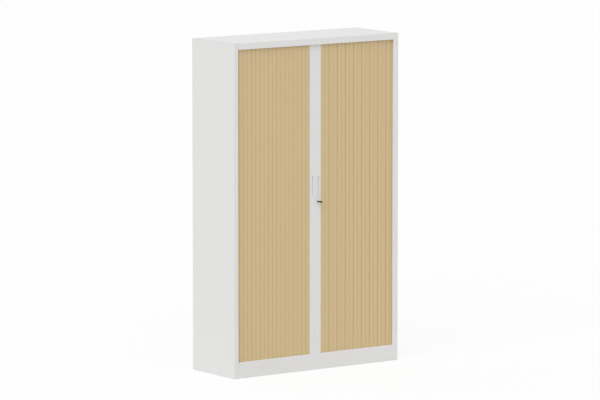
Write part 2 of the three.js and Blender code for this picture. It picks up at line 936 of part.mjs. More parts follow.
const standing = foot();
for (const { name, x, y } of footPlaces) {
  addPiece(cabinet, `foot_${name}`, standing, footGrey, [x, y, 0]);
}

const panel = sidePanel();
const wall = liner();
const bottomTrack = track(baseTop + seam, 1);
const topTrack = track(headBottom - seam, -1);
const grip = fingerGrip();
const slatStarts = Array.from({ length: slatsPerDoor }, (unused, index) => (
  leadWidth + slatPitch * index
));
const slats = slatStarts.map((startX) => slat(ribTurn(startX + slatPitch / 2, slatPitch / 2)));

for (const [side, half] of [['left', leftHalf], ['right', rightHalf]]) {
  addPiece(half, `${side}_side_panel`, panel, whitePaint);
  addPiece(half, `${side}_liner`, wall, whitePaint);
  addPiece(half, `${side}_bottom_track`, bottomTrack, greyPlastic);
  addPiece(half, `${side}_top_track`, topTrack, greyPlastic);
  for (const shelf of shelfLevels) {
    addPiece(half, `${side}_bracket_${shelf}`, bracket, zincSteel, [0, 0, hookLevel(shelf)]);
  }
  const holes = side === 'right' ? [lockHole()] : [];
  addPiece(half, `${side}_lead_profile`, leadProfile(holes), whitePlastic);
  addPiece(half, `${side}_finger_grip`, grip, whitePlastic);
  slats.forEach((solid, index) => {
    addPiece(half, `${side}_slat_${index + 1}`, solid, beechSlat, [slatStarts[index], shutterFace, 0]);
  });
}

addPiece(leftHalf, 'lock_keep', lockKeep(), zincSteel);
addPiece(rightHalf, 'lock_housing', lockHousing(), nickel);
addPiece(rightHalf, 'lock_barrel', lockBarrel(), nickel);
addPiece(rightHalf, 'lock_cam', lockCam(), zincSteel);
addPiece(rightHalf, 'key_blade', keyBlade(), nickel);
addPiece(rightHalf, 'key_bow', keyBow(), blackPlastic);

export default cabinet;
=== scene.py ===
# %% [markdown]
# # A tambour door cabinet
# The cabinet is a tall steel casing whose two doors are curtains of upright slats. Its solids
# come ready made from a CAD frame. This notebook gives them their paint, foil, plastic and
# plating, replaces the pieces whose roundings are too fine for the solids, and sets up the
# studio and the camera. The frame comes first, because every later piece is placed on it.

# %% Load the frame
import json

import bmesh
import bpy
import numpy as np
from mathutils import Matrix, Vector

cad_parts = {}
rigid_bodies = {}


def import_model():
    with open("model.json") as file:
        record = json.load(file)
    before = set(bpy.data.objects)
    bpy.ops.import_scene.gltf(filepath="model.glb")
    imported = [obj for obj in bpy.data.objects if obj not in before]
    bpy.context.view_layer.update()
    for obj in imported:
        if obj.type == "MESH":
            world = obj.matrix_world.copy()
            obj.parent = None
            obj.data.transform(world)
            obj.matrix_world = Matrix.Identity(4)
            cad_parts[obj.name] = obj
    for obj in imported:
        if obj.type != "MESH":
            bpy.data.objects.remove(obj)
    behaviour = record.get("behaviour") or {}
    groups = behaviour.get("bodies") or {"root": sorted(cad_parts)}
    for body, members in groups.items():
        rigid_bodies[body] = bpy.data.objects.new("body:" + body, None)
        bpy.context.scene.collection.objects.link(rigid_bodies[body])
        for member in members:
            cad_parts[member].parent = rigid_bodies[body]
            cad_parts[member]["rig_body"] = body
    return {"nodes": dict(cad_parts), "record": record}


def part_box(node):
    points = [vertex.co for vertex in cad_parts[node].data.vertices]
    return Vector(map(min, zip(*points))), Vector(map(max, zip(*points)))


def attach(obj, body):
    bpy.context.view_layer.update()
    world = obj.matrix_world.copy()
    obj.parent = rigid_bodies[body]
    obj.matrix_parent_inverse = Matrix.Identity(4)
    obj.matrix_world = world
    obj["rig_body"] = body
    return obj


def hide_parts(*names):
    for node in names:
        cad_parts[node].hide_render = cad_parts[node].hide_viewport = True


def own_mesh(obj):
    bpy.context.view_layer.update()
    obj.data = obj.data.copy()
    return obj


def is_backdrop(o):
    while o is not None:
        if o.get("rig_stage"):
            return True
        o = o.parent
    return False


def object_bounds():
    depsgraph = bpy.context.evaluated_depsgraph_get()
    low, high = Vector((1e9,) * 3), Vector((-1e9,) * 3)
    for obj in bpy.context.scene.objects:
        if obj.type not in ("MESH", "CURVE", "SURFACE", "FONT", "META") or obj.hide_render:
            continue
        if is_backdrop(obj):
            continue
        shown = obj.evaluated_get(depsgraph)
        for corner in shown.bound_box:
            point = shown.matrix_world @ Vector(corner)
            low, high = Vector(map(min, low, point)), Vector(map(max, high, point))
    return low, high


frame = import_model()


def plain(value):
    """A size as plain lists of numbers, so that it can be written as text."""
    if isinstance(value, dict):
        return {key: plain(part) for key, part in value.items()}
    if isinstance(value, (int, float, str)) or value is None:
        return value
    return [plain(part) for part in value]


size_at_load = plain(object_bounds())
print("solids:", len(frame["nodes"]), "size:", size_at_load)

# %% [markdown]
# ## Measures
# Blender works in metres and a cabinet maker in millimetres, so each measure is written in
# millimetres and turned into metres once. The right-hand half is measured, and the left-hand
# one is its mirror image, as it is on the real cabinet.

# %% Measures of the shutters, the lock and the feet
MM = 0.001
FACE = -198 * MM
SLATS, SLATTED_WIDTH = 9, 540.5 * MM
BRACKETS_A_SIDE = 4
PITCH = SLATTED_WIDTH / SLATS
LEAD_WIDTH = 40.9 * MM
LEAD_MIDDLE = 20.525 * MM
LOCK_HEIGHT = 1009.5 * MM
LOCK_FACE, LOCK_LENGTH = FACE - 1.2 * MM, 17 * MM
SLAT_GAP = 0.7 * MM
SLOPE_WIDTH, SLOPE_DEPTH = 1.8 * MM, 1.3 * MM
SHARP_EDGE = 0.3 * MM
RIB_GROOVE_HALF, RIB_GROOVE_DEPTH = 0.85 * MM, 1.4 * MM
SLAT_DEPTH, WEB_DEPTH = 6 * MM, 2.4 * MM
BEAD_RADIUS, BEAD_REACH, NECK_HALF = 1.1 * MM, 2 * MM, 0.45 * MM
SOCKET_RADIUS, MOUTH_HALF = 1.4 * MM, 0.75 * MM
NOTCH_HALF, NOTCH_FLOOR = 1.2 * MM, 3.6 * MM
# The two depths behind the face over which the painted shade of the slats rises.
PAINTED_SHADE_DEPTHS = 0.3 * MM, 1.1 * MM
CORNER_RADIUS, CORNER_START = 16 * MM, 574 * MM
SIDES = {"left": -1, "right": 1}
print("slat pitch:", round(PITCH / MM, 2), "mm")

# %% [markdown]
# ## Surfaces from arrays
# Nearly every new piece here is a ring of points that changes as it travels: the outline of a
# slat carried up the door, or a circle that widens and narrows along the axis of the lock. So
# one helper closes any such grid of points into a mesh. The quads come from index arithmetic on
# whole arrays, which is faster and shorter than adding them one by one. Faces have to point
# outwards, and the signed volume tells whether they do.


# %% Close a grid of points
def closed_grid(grid):
    """Points and faces of a closed surface from rings of points, shaped (rings, around, 3).

    Corner (i, j) has the index i * around + j, and j + 1 is taken modulo around, so every ring
    meets its own start. One flat face closes the first ring and one the last."""
    rings, around, _ = grid.shape
    i = np.arange(rings - 1)[:, None] * around
    j = np.arange(around)[None, :]
    after = (j + 1) % around
    quads = np.stack([i + j, i + after, i + around + after, i + around + j], axis=-1)
    ends = [list(range(around))[::-1], list(range((rings - 1) * around, rings * around))]
    return outwards(grid.reshape(-1, 3), quads.reshape(-1, 4).tolist() + ends)


def hoop_grid(grid):
    """Points and faces of a surface that closes both ways, as a washer does, with no end faces.

    Both indices are taken modulo their count, so the last ring meets the first."""
    rings, around, _ = grid.shape
    i = np.arange(rings)[:, None]
    j = np.arange(around)[None, :]
    below, after = (i + 1) % rings, (j + 1) % around
    quads = np.stack(
        [i * around + j, i * around + after, below * around + after, below * around + j], axis=-1
    )
    return outwards(grid.reshape(-1, 3), quads.reshape(-1, 4).tolist())


def outwards(points, faces):
    """The same surface with its faces turned outwards.

    The volume inside is a sixth of the sum of the triple products of every triangle's corners,
    and it comes out negative when the faces point inwards."""
    triangles = np.array(
        [(face[0], face[k], face[k + 1]) for face in faces for k in range(1, len(face) - 1)]
    )
    a, b, c = (points[triangles[:, k]] for k in range(3))
    volume = np.einsum("ij,ij->i", a, np.cross(b, c)).sum() / 6
    return points, faces if volume > 0 else [face[::-1] for face in faces]


# %% Make a mesh of closed surfaces
def make_piece(name, surfaces, body, smooth_up_to):
    """One object from closed surfaces, which rides on a body of the frame.

    Edges flatter than the given angle in degrees are shaded smooth, and the others stay crisp."""
    points, faces = [], []
    for surface_points, surface_faces in surfaces:
        start = sum(len(part) for part in points)
        points.append(surface_points)
        faces.extend([[index + start for index in face] for face in surface_faces])
    mesh = bpy.data.meshes.new(name)
    mesh.from_pydata(np.concatenate(points).tolist(), [], faces)
    mesh.polygons.foreach_set("use_smooth", np.ones(len(faces), dtype=bool))
    mesh.set_sharp_from_angle(angle=np.radians(smooth_up_to))
    piece = bpy.data.objects.new(name, mesh)
    bpy.context.scene.collection.objects.link(piece)
    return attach(piece, body)


def mirrored(surfaces, side):
    """The surfaces themselves for the right-hand side, and their mirror images for the left."""
    if side > 0:
        return surfaces
    return [(points * (-1, 1, 1), [face[::-1] for face in faces]) for points, faces in surfaces]


print("mesh helpers ready")

# %% [markdown]
# ## Sums on sockets
# A procedural finish is arithmetic, such as a base roughness plus a share of a noise. Written with
# nodes alone, each sum takes several lines. So a small class wraps a socket and overloads Python's
# plus and times, and an expression on such wires adds the Math nodes by itself. A second class
# adds any other node to a tree, and a third holds one material.


# %% Wires that add and multiply
class Wire:
    """A node's output that takes part in arithmetic, on values only."""

    def __init__(self, graph, socket):
        self.graph = graph
        self.socket = socket

    def sum_with(self, operation, first, second):
        node = self.graph.node("ShaderNodeMath", {"operation": operation}, {0: first, 1: second})
        return self.graph.wire(node)

    def __add__(self, other):
        return self.sum_with("ADD", self, other)

    def __mul__(self, other):
        return self.sum_with("MULTIPLY", self, other)

    __radd__ = __add__


class Graph:
    """A tree of nodes, with short ways to add a node to it and to feed one."""

    def __init__(self, tree):
        self.tree = tree

    def given(self, kind):
        """The node of a kind that the tree came with."""
        return next(node for node in self.tree.nodes if node.type == kind)

    def node(self, kind, settings, sockets):
        """A node of a kind, with its settings put first and then its sockets."""
        node = self.tree.nodes.new(kind)
        for name, value in settings.items():
            if name == "stops":
                self.set_stops(node.color_ramp, value)
            else:
                setattr(node, name, value)
        self.feed(node, sockets)
        return node

    @staticmethod
    def set_stops(ramp, stops):
        for element, (position, value) in zip(ramp.elements, stops):
            element.position = position
            element.color = (value, value, value, 1)

    def feed(self, node, sockets):
        """Links a wire or an output to a socket, and writes anything else as its value."""
        for key, value in sockets.items():
            if isinstance(key, int):
                socket = node.inputs[key]
            else:
                socket = next(s for s in node.inputs if key in (s.identifier, s.name))
            if isinstance(value, Wire):
                self.tree.links.new(value.socket, socket)
            elif isinstance(value, bpy.types.NodeSocket):
                self.tree.links.new(value, socket)
            else:
                socket.default_value = value

    def wire(self, node, output=0):
        return Wire(self, node.outputs[output])

    def ramp(self, value, low, high):
        """Zero under the low value, one over the high value, and a straight rise between."""
        node = self.node("ShaderNodeValToRGB", {"stops": [(low, 0), (high, 1)]}, {"Fac": value})
        return self.wire(node)

    def blend(self, share, first, second):
        """Two colours mixed by a share."""
        node = self.node(
            "ShaderNodeMix",
            {"data_type": "RGBA"},
            {"Factor_Float": share, "A_Color": first, "B_Color": second},
        )
        return next(s for s in node.outputs if s.identifier == "Result_Color")

    def seen_directly(self):
        """One where the camera, a mirror or a glass looks, and nought where light is gathered."""
        path = self.node("ShaderNodeLightPath", {}, {})
        camera, glossy, through = (
            self.wire(path, f"Is {ray} Ray") for ray in ("Camera", "Glossy", "Transmission")
        )
        return camera + glossy + through


class Finish(Graph):
    """One material: its Principled shader and the nodes that feed it."""

    def __init__(self, name, **sockets):
        self.material = bpy.data.materials.new(name)
        self.material.use_nodes = True
        super().__init__(self.material.node_tree)
        self.shader = self.given("BSDF_PRINCIPLED")
        self.place = self.node("ShaderNodeTexCoord", {}, {}).outputs["Object"]
        self.feed(self.shader, sockets)

    def noise(self, scale, detail=2, stretch=(1, 1, 1)):
        """A cloud of values about one half; a stretch below one draws it out along that axis."""
        place = self.node("ShaderNodeMapping", {}, {"Vector": self.place, "Scale": stretch})
        texture = self.node(
            "ShaderNodeTexNoise", {}, {"Vector": place.outputs[0], "Scale": scale, "Detail": detail}
        )
        return self.wire(texture)

    def bump(self, height, strength, distance):
        """The shading of fine relief that the mesh doesn't have."""
        node = self.node(
            "ShaderNodeBump", {}, {"Height": height, "Strength": strength, "Distance": distance}
        )
        self.feed(self.shader, {"Normal": node.outputs[0]})


def tint(red, green, blue):
    """A colour as it looks on a screen, from 0 to 255, as the light that shaders count in."""
    share = np.array([red, green, blue]) / 255
    light = np.where(share > 0.04045, ((share + 0.055) / 1.055) ** 2.4, share / 12.92)
    return (*light.tolist(), 1)


finishes = {}
print("finish helpers ready")

# %% [markdown]
# ## Powder coat
# Steel cabinets are sprayed with powder that melts in an oven. The film is hard and half matt,
# and it flows into a very fine orange peel. A flat colour would look like paper, so a fine noise
# bumps the surface, and a broad one varies the gloss a little, as handling does.

# %% White powder coat
powder = Finish("white powder coat", IOR=1.5)
peel = powder.noise(900, detail=1)
haze = powder.noise(4, detail=3)
powder.feed(
    powder.shader,
    {
        "Base Color": powder.blend(haze, tint(229, 229, 228), tint(232, 232, 231)),
        "Roughness": 0.46 + haze * 0.1,
    },
)
powder.bump(peel, 0.12, 0.1 * MM)
finishes["white_paint"] = powder.material
print("finish:", powder.material.name)

# %% [markdown]
# ## White plastic
# The lead profiles are extruded and the finger grips moulded, in plastic of the casing's white.
# Extruding leaves faint lines along the profile, so here the noise is drawn out upwards.

# %% White plastic
plastic = Finish("white plastic", IOR=1.46)
draw = plastic.noise(1400, detail=1, stretch=(1, 1, 0.01))
wear = plastic.noise(6, detail=3)
plastic.feed(
    plastic.shader,
    {
        "Base Color": plastic.blend(wear, tint(229, 229, 228), tint(231, 231, 231)),
        "Roughness": 0.38 + wear * 0.1,
    },
)
plastic.bump(draw, 0.06, 0.05 * MM)
finishes["white_plastic"] = plastic.material
print("finish:", plastic.material.name)

# %% [markdown]
# ## Beech foil
# The slats are plastic wrapped in a printed foil: pale beech with straight grain and the short
# dark flecks that mark this wood. The grain follows each slat, so the noise is drawn out along
# Z. Long soft bands come from one noise, and flecks from the peaks of a finer one. Inside the
# joints and on the back the colour turns a darker brown with the depth behind the face, which is
# painted shade. Each slat says where with an attribute of its points.

# %% Pale beech foil
foil = Finish("pale beech foil", IOR=1.47)
bands = foil.noise(60, detail=4, stretch=(1, 1, 0.02))
streaks = foil.noise(420, detail=3, stretch=(1, 1, 0.012))
flecks = foil.ramp(foil.noise(700, detail=1, stretch=(1, 1, 0.08)), 0.66, 0.8)
wood = foil.blend(bands, tint(214, 190, 145), tint(218, 194, 150))
grained = foil.blend(streaks * 0.5, wood, tint(209, 184, 138))
flecked = foil.blend(flecks * 0.28, grained, tint(177, 146, 101))
# Painted shade: a darker brown whose share rises with the depth behind the face, in the joints and
# on the back.
shown = foil.wire(foil.node("ShaderNodeAttribute", {"attribute_name": "painted_shade"}, {}), "Fac")
with_painted_shade = foil.blend(shown, flecked, tint(150, 122, 82))
foil.feed(foil.shader, {"Base Color": with_painted_shade, "Roughness": 0.5 + streaks * 0.12})
foil.bump(streaks, 0.05, 0.05 * MM)
finishes["beech_slat"] = foil.material
print("finish:", foil.material.name)

# %% [markdown]
# ## Track, foot and key plastic
# The tracks are extruded in a slippery grey plastic, the feet are moulded in a pale one and the
# bow of the key in a black one. All three are plain finishes with a trace of texture, because
# none of them is polished.


# %% Moulded plastics
def moulded(name, colour, darker, roughness, grain, ior=1.46):
    """A moulded plastic: the colour leans to its darker tone by a broad noise."""
    made = Finish(name, IOR=ior)
    cloud = made.noise(12, detail=3)
    made.feed(
        made.shader,
        {"Base Color": made.blend(cloud, darker, colour), "Roughness": roughness + cloud * 0.1},
    )
    made.bump(made.noise(grain, detail=2), 0.1, 0.05 * MM)
    return made.material


finishes["track_plastic"] = moulded(
    "grey track plastic", tint(190, 191, 192), tint(184, 185, 186), 0.42, 700
)
finishes["foot_plastic"] = moulded(
    "pale foot plastic", tint(206, 206, 208), tint(199, 199, 201), 0.5, 900
)
finishes["black_plastic"] = moulded(
    "black key plastic", tint(17, 17, 18), tint(12, 12, 13), 0.7, 1500, ior=1.33
)
print("finishes:", len(finishes))

# %% [markdown]
# ## Zinc plate
# Brackets, studs, screws, the cam and its keep are zinc plated. Zinc is a pale metal with a
# cloudy bloom, so the roughness varies much more than the colour does.

# %% Bright zinc
zinc = Finish("bright zinc", Metallic=1.0)
bloom = zinc.noise(55, detail=4)
zinc.feed(
    zinc.shader,
    {
        "Base Color": zinc.blend(bloom, tint(192, 195, 198), tint(214, 216, 218)),
        "Roughness": 0.28 + bloom * 0.22,
    },
)
zinc.bump(zinc.noise(1600, detail=1), 0.05, 0.03 * MM)
finishes["zinc_steel"] = zinc.material
print("finish:", zinc.material.name)

# %% [markdown]
# ## Satin nickel
# The lock and the blade of the key are nickel plated over a brushed face. Nickel is a little
# warmer than zinc and smoother, and the brushing shows as fine rough streaks across.

# %% Satin nickel
nickel = Finish("satin nickel", Metallic=1.0)
brushing = nickel.noise(2600, detail=2, stretch=(0.04, 1, 1))
nickel.feed(
    nickel.shader,
    {
        "Base Color": nickel.blend(brushing, tint(214, 211, 205), tint(222, 220, 215)),
        "Roughness": 0.2 + brushing * 0.16,
    },
)
nickel.bump(brushing, 0.04, 0.02 * MM)
finishes["nickel"] = nickel.material
print("finish:", nickel.material.name)

# %% [markdown]
# ## The solids take their finishes
# Each solid of the frame belongs to a material slot in its record. Panels, tracks, shelves and
# lead profiles keep their solids, because a folded sheet or an extrusion has the right shape
# already, and only their finish is new.


# %% Dress the solids
def dress(piece, slot):
    """Gives a piece the finish of one of the record's slots."""
    piece.data.materials.clear()
    piece.data.materials.append(finishes[slot])
    return piece


slot_of = {part["node"]: part["material_slot"] for part in frame["record"]["subparts"]}
for node_name, solid in frame["nodes"].items():
    dress(solid, slot_of[node_name])
print("dressed:", len(slot_of))


def new_piece(name, surfaces, body, slot, smooth_up_to=35):
    """A new piece in one of the record's slots."""
    return dress(make_piece(name, surfaces, body, smooth_up_to), slot)


# %% [markdown]
# ## Slats
# A slat is an extrusion with two ribs. One edge slopes down to the joint, where a bead snaps into
# a socket in the next slat, and the other edge is nearly sharp. The curtain can bend at each bead
# and at the thin web in the middle of each slat. So the section is drawn once, with rounder arcs
# than the solid has, and carried upwards. The last slat already stands partly in the corner, and
# its outer rib is turned.


# %% Arcs and the section of a slat
def arc(centre, radius, start, end, count):
    """Points on an arc: centre plus radius times the cosine and sine of evenly spaced angles."""
    angle = np.linspace(start, end, count)
    return np.array(centre) + radius * np.stack([np.cos(angle), np.sin(angle)], axis=1)


def groove(middle, half, depth, count):
    """A rounded groove: half the depth times one plus the cosine of the way across, in half
    turns, so it leaves the face and passes its floor without a kink."""
    across = np.linspace(-1, 1, count)
    fall = depth * (1 + np.cos(np.pi * across)) / 2
    return np.stack([middle + across * half, fall], axis=1)


def slat_section(turn):
    """The closed outline of a slat in metres: X runs from its joint with the slat before, and Y
    is the depth behind the face. Points beyond the web are turned about the web's middle. With
    it comes the share of painted shade at each point, which rises with the depth behind the face.

    Each flat rib face ends in a narrow flat strip, so that smooth shading at a groove or an edge
    stays within the strip and doesn't tilt the light on the whole rib."""
    middle, start, end = PITCH / 2, SLAT_GAP / 2, PITCH - SLAT_GAP / 2
    strip, bead_points, edge_points, groove_points = 0.4 * MM, 17, 4, 9
    ease, upper_fall, lower_fall = 0.3 * MM, 0.05 * MM, 0.25 * MM
    slope = end - SLOPE_WIDTH
    neck = np.arcsin(NECK_HALF / BEAD_RADIUS)
    mouth = np.arcsin(MOUTH_HALF / SOCKET_RADIUS)
    bead, socket = (PITCH + BEAD_REACH, WEB_DEPTH), (BEAD_REACH, WEB_DEPTH)
    far_rib = np.concatenate([
        [(slope - strip, 0), (slope, 0), (slope + ease, upper_fall)],
        [(end - ease, SLOPE_DEPTH - lower_fall), (end, SLOPE_DEPTH)],
        arc(bead, BEAD_RADIUS, neck - np.pi, np.pi - neck, bead_points),
        [(end, WEB_DEPTH + NECK_HALF), (end - NOTCH_HALF, SLAT_DEPTH)],
        [(middle + NOTCH_HALF, SLAT_DEPTH)],
    ])
    hinge = np.array([middle, WEB_DEPTH])
    spin = np.array([[np.cos(turn), np.sin(turn)], [-np.sin(turn), np.cos(turn)]])
    near_rib = np.concatenate([
        [(middle, NOTCH_FLOOR), (middle - NOTCH_HALF, SLAT_DEPTH)],
        [(start + NOTCH_HALF, SLAT_DEPTH)],
        arc(socket, SOCKET_RADIUS, np.pi - mouth, mouth - np.pi, bead_points),
        arc((start + SHARP_EDGE, SHARP_EDGE), SHARP_EDGE, np.pi, 1.5 * np.pi, edge_points),
        [(start + SHARP_EDGE + strip, 0)],
    ])
    half = RIB_GROOVE_HALF
    dip = groove(middle, half, RIB_GROOVE_DEPTH, groove_points)
    dip = np.concatenate([[(middle - half - strip, 0)], dip, [(middle + half + strip, 0)]])
    outline = np.concatenate([dip, far_rib, near_rib])
    # Painted shade: nought on the face, rising to one between the two given depths behind it.
    painted_shade = np.clip((outline[:, 1] - PAINTED_SHADE_DEPTHS[0]) / (PAINTED_SHADE_DEPTHS[1] - PAINTED_SHADE_DEPTHS[0]), 0, 1)
    far = slice(len(dip) // 2 + 1, len(dip) + len(far_rib))
    outline[far] = (outline[far] - hinge) @ spin + hinge
    return outline, painted_shade


def turn_in_corner(hinge, width):
    """How far the outer rib of a slat leans into the corner of the track: the angle of a chord
    from the hinge, on the straight run, to the point where the rib's length ends on the arc."""
    angle = max(hinge + width - CORNER_START, 0) / CORNER_RADIUS
    inwards = CORNER_RADIUS * (1 - np.cos(angle))
    return np.arctan2(inwards, CORNER_START - hinge + CORNER_RADIUS * np.sin(angle))


print("points in a slat's section:", len(slat_section(0)[1]))


# %% [markdown]
# An open shutter really runs round the corner into the side of the casing. The frame has no such
# chain: there every slat follows the lead profile with a share of its travel. So each slat also
# narrows as the shutter opens, and all nine close up like bellows behind the stile. They gather a
# little outwards of their middles, which leaves room for the bead of the lead profile. A white
# plastic guide pin at each end of a slat runs in the groove of a track.


# %% Slats and their pins
def raised(outline, levels):
    """An outline in X and Y repeated on each level, as rings of points."""
    rings = np.zeros((len(levels), len(outline), 3))
    rings[:, :, :2] = outline
    rings[:, :, 2] = np.array(levels)[:, None]
    return rings


def turned(profile, around, origin, axis=2):
    """A profile of (radius, place along the axis) turned about a line through an origin.

    Each point is the radius times the cosine and sine of the angle on the two other axes."""
    radius, along = np.array(profile, float).T
    angle = np.arange(around) * 2 * np.pi / around
    rings = np.zeros((len(radius), around, 3))
    first, second = [k for k in range(3) if k != axis]
    rings[:, :, first] = radius[:, None] * np.cos(angle)
    rings[:, :, second] = radius[:, None] * np.sin(angle)
    rings[:, :, axis] = along[:, None]
    return rings + np.array(origin)


def round_pin(radius, low, high, origin, around=12, end_points=4):
    """A pin with rounded ends, turned from quarter circles of a third of its radius."""
    ease = radius / 3
    lower = arc((radius - ease, low + ease), ease, -np.pi / 2, 0, end_points)
    upper = arc((radius - ease, high - ease), ease, 0, np.pi / 2, end_points)
    return closed_grid(turned(np.concatenate([lower, upper]), around, origin))


bottom, top = 97.3 * MM, 1947.7 * MM
pin_radius, pin_depth, pin_root = 2 * MM, 6 * MM, 1 * MM
for side_name, side in SIDES.items():
    for number in range(1, SLATS + 1):
        name = f"{side_name}_slat_{number}"
        start = np.array([LEAD_WIDTH + (number - 1) * PITCH, FACE, 0])
        section, painted_shade = slat_section(turn_in_corner(start[0] + PITCH / 2, PITCH / 2))
        body = [closed_grid(raised(section, (bottom, top)) + start)]
        pin_place = start + (PITCH / 2, WEB_DEPTH, 0)
        pins = [
            round_pin(pin_radius, bottom - pin_depth, bottom + pin_root, pin_place),
            round_pin(pin_radius, top - pin_root, top + pin_depth, pin_place),
        ]
        slat = new_piece(f"{name}_foiled", mirrored(body, side), name, "beech_slat", 50)
        # Each point of a slat carries its share of painted shade.
        painted_shade_layer = slat.data.attributes.new("painted_shade", "FLOAT", "POINT")
        painted_shade_layer.data.foreach_set("value", np.tile(painted_shade, 2).astype(np.float32))
        slat_pins = new_piece(f"{name}_pins", mirrored(pins, side), name, "white_plastic")
        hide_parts(name)
        for part in (slat, slat_pins):
            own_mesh(part)
print("slats:", 2 * SLATS)

# %% [markdown]
# ## Finger grips
# A finger grip is a moulded cup pressed into a slot of the lead profile, with a thin rim that
# covers the slot's edge. All its sections across are rectangles with round corners. A
# superellipse with a high power is such a rectangle in one formula, so the cup is one grid of
# rings: up the inner wall, over the rim and back along the outer wall.


# %% Finger grips
def round_rectangle(half_width, half_height, power, around):
    """A superellipse: half width times the cosine of the angle, and half height times its sine,
    each raised to two over the power with its sign kept."""
    angle = (np.arange(around) + 0.5) * 2 * np.pi / around
    share = np.stack([np.cos(angle), np.sin(angle)], axis=1)
    return np.sign(share) * np.abs(share) ** (2 / power) * (half_width, half_height)


def cup_rings(steps, middle, height, power=14, around=72):
    """Rings for a cup seen from the front, from steps of (half width, half height, depth)."""
    rings = np.zeros((len(steps), around, 3))
    for ring, (half_width, half_height, depth) in zip(rings, steps):
        ring[:, [0, 2]] = round_rectangle(half_width, half_height, power, around)
        ring[:, 1] = depth
    return rings + (middle, 0, height)


rim_front, rim_back, cup_back = -199.1, -198.3, -190
grip_steps = np.array([
    (3.6, 56.1, -191.5), (4.4, 56.9, -191.7), (4.9, 57.4, -192.2), (5, 57.5, -193),
    (5, 57.5, rim_front + 0.4), (5.12, 57.62, rim_front + 0.1), (5.4, 57.9, rim_front),
    (8.1, 60.6, rim_front), (8.4, 60.9, rim_front + 0.12), (8.5, 61, rim_front + 0.4),
    (8.5, 61, rim_back), (6.5, 59, rim_back), (6.5, 59, cup_back + 1),
    (6.2, 58.7, cup_back + 0.3), (5.6, 58.1, cup_back),
]) * MM
grip_middle = 1104.5 * MM
for side_name, side in SIDES.items():
    cup = [closed_grid(cup_rings(grip_steps, LEAD_MIDDLE, grip_middle))]
    grip = new_piece(
        f"{side_name}_grip_cup", mirrored(cup, side), f"{side_name}_door", "white_plastic"
    )
    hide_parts(f"{side_name}_finger_grip")
print("grip height:", round(2 * grip_steps[:, 1].max() / MM), "mm")

# %% [markdown]
# ## Lock
# The housing is a nickelled tube with a flange in front and a thread behind for its nut. The
# barrel turns in it. Both are turned on a lathe, so their profiles are revolved. The keyhole is
# the exception: rings that start as a slot's outline and end as a circle make the face, the slot
# and the barrel one closed surface.


# %% Lock housing and barrel
def thread(radius, depth, low, high, turns, steps=4):
    """A profile whose radius falls and rises along the axis: the radius minus half the depth
    times one minus the cosine of the way through each turn."""
    along = np.linspace(low, high, turns * steps + 1)
    wave = 1 - np.cos((along - low) / (high - low) * turns * 2 * np.pi)
    return np.stack([radius - depth * wave / 2, along], axis=1)


front = LOCK_FACE
back = LOCK_FACE + LOCK_LENGTH
flange_back = FACE - 0.3 * MM
lock_centre = (LEAD_MIDDLE, 0, LOCK_HEIGHT)
bore, tube_radius, flange_radius = 6.3 * MM, 8 * MM, 10 * MM
chamfer, flange_edge, flange_edge_points = 0.4 * MM, 0.6 * MM, 5
flange_edge_centre = (flange_radius - flange_edge, front + flange_edge)
thread_start, thread_end = flange_back + 1.5 * MM, back - 0.5 * MM
thread_depth, thread_turns = 0.5 * MM, 13
housing_profile = np.concatenate([
    [(bore, back), (bore, front + chamfer), (bore + chamfer, front)],
    arc(flange_edge_centre, flange_edge, -np.pi / 2, 0, flange_edge_points),
    [(flange_radius, flange_back), (tube_radius, flange_back)],
    thread(tube_radius, thread_depth, thread_start, thread_end, thread_turns),
    [(tube_radius - chamfer, back)],
])
housing_around = 48
housing_rings = turned(housing_profile, housing_around, lock_centre, axis=1)
housing = new_piece("lock_housing_turned", [hoop_grid(housing_rings)], "right_door", "nickel")
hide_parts("lock_housing")


def barrel_rings(around=64):
    """Rings from the floor of the keyhole out to the face and back along the barrel.

    The turned part is given as (radius, depth behind the face) in millimetres."""
    slot_half_width, slot_half_height, slot_power = 4.3 * MM, 1.3 * MM, 10
    slot_ease, mouth_growth, hole_depth = 0.3 * MM, (1.05, 1.15), 15.3 * MM
    slot = round_rectangle(slot_half_width, slot_half_height, slot_power, around)
    angle = (np.arange(around) + 0.5) * 2 * np.pi / around
    circle = np.stack([np.cos(angle), np.sin(angle)], axis=1)
    steps = [(slot, front + hole_depth), (slot, front + slot_ease), (slot * mouth_growth, front)]
    turned_part = [
        (5.6, 0), (5.88, 0.12), (6, 0.4), (6, 16.7), (5.7, 17), (3, 17), (3, 20.1),
        (4.3, 20.1), (4.5, 20.3), (4.5, 21.4), (4.2, 21.7),
    ]
    steps += [(circle * radius * MM, front + depth * MM) for radius, depth in turned_part]
    rings = np.zeros((len(steps), around, 3))
    for ring, (outline, depth) in zip(rings, steps):
        ring[:, [0, 2]] = outline
        ring[:, 1] = depth
    return rings + lock_centre


barrel = new_piece("lock_barrel_turned", [closed_grid(barrel_rings())], "lock_barrel", "nickel")
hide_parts("lock_barrel")
print("lock faces:", len(housing.data.polygons) + len(barrel.data.polygons))

# %% [markdown]
# ## Stamped and moulded pieces
# Some pieces have the right outline as solids, and only their edges are too sharp: the bow of
# the key, the blade, the cam, its keep and the shelf brackets. Real edges are broken by
# tumbling or by the mould. A copy of each solid gets a bevel, which does that to every sharp
# edge at once. The copy is merged first, because a solid of the frame is loose triangles.


